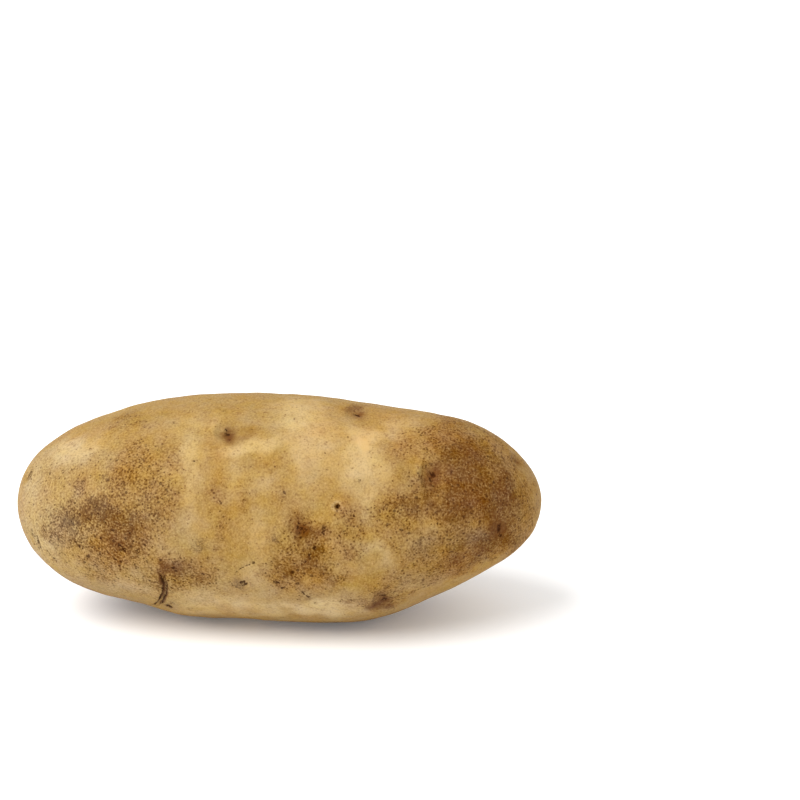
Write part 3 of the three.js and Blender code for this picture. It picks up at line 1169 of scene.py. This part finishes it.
    def _paint(self, marks: Marks) -> None:
        """Writes each kind of mark to its attribute.

        Args:
            marks: The marks on it.
        """
        points, normals = self._read(), self._read(name="normal")
        towards = self.camera.position - points
        towards /= np.linalg.norm(towards, axis=1)[:, None]
        facing = np.clip((normals * towards).sum(axis=1) / self.FACING, 0, 1)
        moved = points + Wander(SEED).shift(points)
        seen = self.camera.project(moved)
        paint = {layer: np.zeros(len(points)) for layer in Layer}
        for patch in SEEN_PATCHES:
            paint[patch.layer] += patch.weigh(seen) * facing
        for hidden in marks.hidden:
            paint[hidden.layer] += hidden.weigh(moved) * (1 - facing)
        for eye in marks.eyes:
            paint[Layer.STAIN] += eye.stain(points)
            paint[Layer.DIRT] += eye.dirt(points)
        # Cups and creases add their dark marks; the pit's rim and the brows add painted highlight to the
        # pale layer.
        for mark in [*marks.cups, *marks.creases]:
            paint[Layer.DIRT] += mark.dirt(points)
            paint[Layer.PALE] += mark.painted_highlight(points)
        crack = marks.creases[0]
        paint[Layer.STAIN] += 1.6 * crack.dirt(points + 0.5 * (moved - points))
        for spot, radius, dark in marks.specks:
            far = spot.far(points)
            paint[Layer.DIRT] += dark * bell(far, 1.15 * radius)
            paint[Layer.STAIN] += 0.3 * dark * bell(far, 2.4 * radius)
        for layer, values in paint.items():
            attribute = self.skin.data.attributes.new(layer.value, "FLOAT", "POINT")
            attribute.data.foreach_set("value", np.clip(values, 0, self.MOST_PAINT).astype(np.float32))


class Socket:
    """One output of a shader node. Sums with it add Math nodes."""

    def __init__(self, bench: "Bench", output: bpy.types.NodeSocket) -> None:
        """Wraps an output.

        Args:
            bench: The bench that the output's node stands on.
            output: The output.
        """
        self.bench = bench
        self.output = output

    def beside(self, name: str) -> "Socket":
        """Gives another output of the same node."""
        return Socket(self.bench, self.output.node.outputs[name])

    def _sum(self, operation: str, first: Any, second: Any) -> "Socket":
        """Adds a Math node that works on two values."""
        return self.bench.node("ShaderNodeMath", {"operation": operation}, {0: first, 1: second})

    def __add__(self, other: Any) -> "Socket":
        """Adds."""
        return self._sum("ADD", self, other)

    __radd__ = __add__

    def __sub__(self, other: Any) -> "Socket":
        """Takes away."""
        return self._sum("SUBTRACT", self, other)

    def __rsub__(self, other: Any) -> "Socket":
        """Takes this from another value."""
        return self._sum("SUBTRACT", other, self)

    def __mul__(self, other: Any) -> "Socket":
        """Multiplies."""
        return self._sum("MULTIPLY", self, other)

    __rmul__ = __mul__


class Bench:
    """A material's node tree, and the one method that adds nodes to it."""

    def __init__(self, name: str) -> None:
        """Starts an empty material.

        Args:
            name: The material's name.
        """
        self.material = bpy.data.materials.new(name)
        self.material.use_nodes = True
        self.tree = self.material.node_tree
        self.tree.nodes.clear()

    def node(self, kind: str, settings: dict[str, Any], inputs: dict[Any, Any], output: Any = 0) -> Socket:
        """Adds a node.

        Args:
            kind: The node's type.
            settings: Properties of the node, set before its sockets.
            inputs: Values or links for its sockets, by name or number.
            output: The output to give back, by name or number.

        Returns:
            That output.
        """
        made = self.tree.nodes.new(kind)
        for name, value in settings.items():
            setattr(made, name, value)
        for name, value in inputs.items():
            if isinstance(value, Socket):
                self.tree.links.new(value.output, made.inputs[name])
            elif isinstance(value, tuple) and made.inputs[name].type == "RGBA":
                made.inputs[name].default_value = (*value, 1.0)
            else:
                made.inputs[name].default_value = value
        return Socket(self, made.outputs[output]) if made.outputs else None

    def place(self) -> Socket:
        """The point of the object that is shaded."""
        return self.node("ShaderNodeTexCoord", {}, {}, "Object")

    def layer(self, layer: Layer) -> Socket:
        """How strong a kind of mark is there."""
        return self.node("ShaderNodeAttribute", {"attribute_name": layer.value}, {}, "Fac")

    def noise(self, place: Socket, size_mm: float, detail: float = 2.0, roughness: float = 0.5) -> Socket:
        """Soft random values, with features of a given size."""
        inputs = {"Vector": place, "Scale": 1 / (size_mm * MM), "Detail": detail, "Roughness": roughness}
        return self.node("ShaderNodeTexNoise", {}, inputs, "Fac")

    def ramp(self, value: Any, start: float, end: float) -> Socket:
        """Rises smoothly from 0 at start to 1 at end."""
        inputs = {"Value": value, "From Min": start, "From Max": end}
        return self.node("ShaderNodeMapRange", {"interpolation_type": "SMOOTHSTEP"}, inputs)

    def mix(self, share: Any, first: Any, second: Any) -> Socket:
        """Blends two colours."""
        inputs = {0: share, 6: first, 7: second}
        return self.node("ShaderNodeMix", {"data_type": "RGBA"}, inputs, 2)

    def dots(self, place: Socket, apart_mm: float, radius_mm: float, soft_mm: float, share: Any) -> Socket:
        """Round dots scattered over the skin.

        Args:
            place: Where to read the pattern.
            apart_mm: About how far apart the dots lie.
            radius_mm: The largest dot's radius.
            soft_mm: The width of a dot's soft edge.
            share: How many of the possible dots are there, from 0 to 1, as a number or a socket.

        Returns:
            1 in a dot and 0 between dots.
        """
        inputs = {"Vector": place, "Scale": 1 / (apart_mm * MM)}
        cells = self.node("ShaderNodeTexVoronoi", {}, inputs, "Distance")
        draw = self.node("ShaderNodeSeparateColor", {}, {0: cells.beside("Color")}, "Red")
        size = self.ramp(draw + share, 1.0, 1.35) * ((radius_mm + soft_mm) / apart_mm)
        return 1 - self.ramp(cells - size, -soft_mm / apart_mm, 0.0)

    def surface(
        self, colour: Any, roughness: Any, normal: Any, constants: dict[str, Any]
    ) -> bpy.types.Material:
        """Finishes the material with its shader.

        Args:
            colour: Base colour.
            roughness: Roughness.
            normal: Normal, or None for the mesh's own.
            constants: Values of the shader's other sockets.

        Returns:
            The finished material.
        """
        inputs = {"Base Color": colour, "Roughness": roughness, **constants}
        if normal is not None:
            inputs["Normal"] = normal
        shader = self.node("ShaderNodeBsdfPrincipled", {}, inputs)
        self.node("ShaderNodeOutputMaterial", {}, {"Surface": shader})
        return self.material


class SkinPatterns:
    """The painted marks and the random patterns that the skin's finish is mixed from."""

    def __init__(self, bench: Bench) -> None:
        """Adds the patterns to a bench.

        Args:
            bench: The bench of the skin's material.
        """
        layers = {layer: bench.layer(layer) for layer in Layer}
        self.russet_and_shade, self.pale, self.stain = layers[Layer.RUSSET_AND_SHADE], layers[Layer.PALE], layers[Layer.STAIN]
        self.scuff, self.ash = layers[Layer.SCUFF], layers[Layer.ASH]
        self.blush, self.speckle = layers[Layer.BLUSH], layers[Layer.SPECKLE]
        # Soft random values, from coarse to fine, and those that turn the colour greyer or warmer
        place = bench.place()
        drift = bench.noise(place, 14, 3)
        self.cloud = bench.noise(place, 4.0, 4, 0.6)
        self.blot = bench.noise(place, 1.5, 3, 0.6)
        self.grain = bench.noise(place, 0.55, 2, 0.6)
        self.fine = bench.noise(place, 0.28, 1)
        self.greying = bench.noise(place, 5.5, 3, 0.55)
        self.warming = bench.noise(place, 7.5, 3, 0.55)
        # Where the fine cork net lies, with painted shade where its layer darkens the rose end, and where
        # the skin is smooth and pale, with painted highlight on a ridge, the brows and the pit's rim
        uneven = self.russet_and_shade + (self.cloud - 0.5) * 0.9 + (drift - 0.5) * 0.4
        self.uneven = uneven + (self.blot - 0.5) * 0.7
        self.netted_and_shaded = bench.ramp(self.uneven, 0.0, 1.0)
        plain = self.pale + (self.cloud - 0.5) * 0.8 + (drift - 0.5) * 0.6 - self.netted_and_shaded * 0.3
        self.smooth = bench.ramp(plain, -0.15, 1.2)
        # Dots, the threads of a scuff, and soil
        self.pits = bench.dots(place, 0.85, 0.25, 0.08, self.netted_and_shaded * 0.85 + self.speckle * 0.35 + 0.12)
        self.grit = bench.dots(place, 1.8, 0.36, 0.12, self.netted_and_shaded * 0.45 + self.speckle * 0.25 + 0.06)
        self.freckles = bench.dots(place, 1.2, 0.2, 0.1, 0.6)
        # Glints: small pale dots, painted highlight of tiny bumps.
        self.glints = bench.dots(place, 1.15, 0.16, 0.1, 0.6)
        self.threads = bench.ramp(self.blot, 0.46, 0.5) * bench.ramp(self.blot, 0.54, 0.5)
        crumbled = (self.grain - 0.5) * 3.5 + (self.fine - 0.5) * 1.5 + 1.0
        self.soil = bench.ramp(layers[Layer.DIRT] * crumbled, 0.3, 0.9)


@dataclass(frozen=True)
class SkinFinish:
    """The look of raw potato skin, washed but not scrubbed.

    Attributes:
        pale: Smooth skin that light and soil have left alone, and painted highlight on a ridge by the top
            eye, on the brows and on the pit's rim.
        tan: Ordinary skin.
        russet_and_shade: Skin under a patch of fine cork net; where its layer darkens the rose end, low on
            the right and along the left edge, this brown is partly painted shade.
        deep: The darkest of it, which at the rose end is partly painted shade.
        fleck: The net's own flecks.
        stain: Brown skin round an eye.
        dot: Breathing pores.
        scuff: Grey bruised skin.
        dirt: Earth in the eyes, pits and cracks.
        flake_and_highlight: Thin dry skin that has lifted, and painted highlight: pale grain flecks,
            glints and rims that stand for light caught on small bumps.
    """

    pale: Colour = linear(188, 160, 109)
    tan: Colour = linear(154, 122, 68)
    russet_and_shade: Colour = linear(132, 96, 50)
    deep: Colour = linear(98, 63, 24)
    fleck: Colour = linear(84, 48, 6)
    stain: Colour = linear(98, 60, 26)
    dot: Colour = linear(70, 36, 2)
    scuff: Colour = linear(104, 82, 56)
    dirt: Colour = linear(52, 25, 3)
    flake_and_highlight: Colour = linear(196, 162, 104)

    def _coats(self, bench: Bench, skin: SkinPatterns) -> tuple[tuple[Socket, Colour], ...]:
        """Lists the colours that lie on the plain skin, the lowest first.

        Args:
            bench: The bench of the skin's material.
            skin: The patterns.

        Returns:
            How much each colour covers, and the colour.
        """
        bright, dark = bench.ramp(skin.grain, 0.5, 0.36), bench.ramp(skin.grain, 0.5, 0.62)
        worn = skin.scuff * bench.ramp(skin.cloud * 0.6 + skin.grain * 0.6, 0.45, 0.7)
        return (
            (bench.ramp(skin.cloud, 0.5, 0.72) * 0.3, self.russet_and_shade),
            # The net's brown, and below it its darkest brown: at the rose end, low on the right and along
            # the left edge partly painted shade.
            (skin.netted_and_shaded * 0.72, self.russet_and_shade),
            (bench.ramp(skin.uneven, 0.8, 1.5) * 0.85, self.deep),
            (bench.ramp(skin.blot, 0.54, 0.7) * (skin.netted_and_shaded * 0.12 + 0.22), self.stain),
            # Pale grain flecks and glints below are painted highlight of tiny bumps; the dark grain flecks
            # are the net's own.
            (bright * (0.2 + skin.speckle * 0.14), self.flake_and_highlight),
            (dark * (skin.netted_and_shaded * 0.33 + skin.speckle * 0.15 + 0.18), self.fleck),
            (skin.glints * 0.3, self.flake_and_highlight),
            (skin.freckles * 0.45, self.stain),
            # Where the pale layer runs above 1, as on the pit's rim, the lightest colour is painted
            # highlight.
            (bench.ramp(skin.pale, 1.0, 1.4) * 0.8, self.flake_and_highlight),
            (skin.pits * 0.65, self.dot),
            (skin.grit * 0.6, self.dirt),
            (skin.stain * bench.ramp(skin.cloud, 0.2, 0.6) * 0.85, self.stain),
            (worn * 0.7, self.scuff),
            (skin.scuff * skin.threads * 0.7, self.dot),
            (skin.soil * 0.9, self.dirt),
        )

    def material(self) -> bpy.types.Material:
        """Builds the skin's material.

        Returns:
            The material.
        """
        bench = Bench("potato_skin")
        skin = SkinPatterns(bench)
        colour = bench.mix(skin.smooth, self.tan, self.pale)
        for share, paint in self._coats(bench, skin):
            colour = bench.mix(share, colour, paint)
        hue = (skin.warming - 0.5) * 0.02 + skin.ash * 0.004 - skin.blush * 0.006 + 0.5
        strength = 1.01 - (skin.greying - 0.5) * 0.34 - skin.ash * 0.12 + skin.blush * 0.02
        drifted = {"Hue": hue, "Saturation": strength, "Color": colour}
        colour = bench.node("ShaderNodeHueSaturation", {}, drifted)
        height = skin.grain * 0.12 * (skin.netted_and_shaded * 0.7 + 0.6) + skin.fine * 0.02 + skin.cloud * 0.12
        height = height - skin.grit * 0.03 - skin.pits * 0.02
        inputs = {"Height": height, "Distance": MM, "Strength": 1.0}
        bump = bench.node("ShaderNodeBump", {}, inputs, "Normal")
        roughness = 0.56 + skin.netted_and_shaded * 0.12 + skin.soil * 0.2 - skin.smooth * 0.05
        return bench.surface(colour, roughness, bump, {"Specular IOR Level": 0.05})


@dataclass(frozen=True)
class Studio:
    """The plain pale floor and the soft light.

    Attributes:
        floor_size: Width of the floor, in metres.
        floor_tone: How pale the floor is.
        glow: How much light the floor gives of its own, as a lit white table does.
        sky: Strength of the even light from all round.
        key: The way to the main light.
        key_strength: How strong it is.
        key_width_deg: How wide it seems from the potato.
    """

    floor_size: float = 12.0
    floor_tone: float = 0.97
    glow: float = 0.08
    sky: float = 0.9
    key: tuple[float, float, float] = (-0.55, -0.35, 0.76)
    key_strength: float = 2.67
    key_width_deg: float = 50.0

    def build(self) -> None:
        """Makes the floor, the main light and the even light."""
        bpy.ops.object.select_all(action="DESELECT")
        bpy.ops.mesh.primitive_plane_add(size=self.floor_size, location=(0, 0, 0))
        floor = bpy.context.object
        floor.name = "studio_floor"
        bench = Bench("pale_floor")
        tone = (self.floor_tone,) * 3
        white = (1.0, 1.0, 1.0)
        constants = {"Specular IOR Level": 0.1, "Emission Color": white, "Emission Strength": self.glow}
        floor.data.materials.append(bench.surface(tone, 0.9, None, constants))
        facing = Vector(self.key).to_track_quat("Z", "Y").to_euler()
        bpy.ops.object.light_add(type="SUN", location=self.key, rotation=facing)
        lamp = bpy.context.object
        lamp.name = "key_light"
        lamp.data.angle = math.radians(self.key_width_deg)
        lamp.data.energy = self.key_strength
        world = bpy.data.worlds.new("studio")
        world.use_nodes = True
        world.node_tree.nodes["Background"].inputs["Color"].default_value = (1, 1, 1, 1)
        world.node_tree.nodes["Background"].inputs["Strength"].default_value = self.sky
        bpy.context.scene.world = world
        bpy.context.scene.view_settings.view_transform = "Standard"


def main() -> None:
    """Builds the camera, the potato and the studio, and notes the sizes."""
    logging.basicConfig(level=logging.INFO, format="%(name)s: %(message)s")
    solid = Surface(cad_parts["potato"])
    camera = PhotoCamera(solid.low, solid.high)
    camera.place()
    skin = PotatoSkin(solid, camera).build()
    skin.data.materials.append(SkinFinish().material())
    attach(skin, "root")
    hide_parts("potato")
    triangles = sum(len(face.vertices) - 2 for face in skin.data.polygons)
    LOG.info("%s: %d triangles", skin.name, triangles)
    Studio().build()


if __name__ == "__main__":
    main()
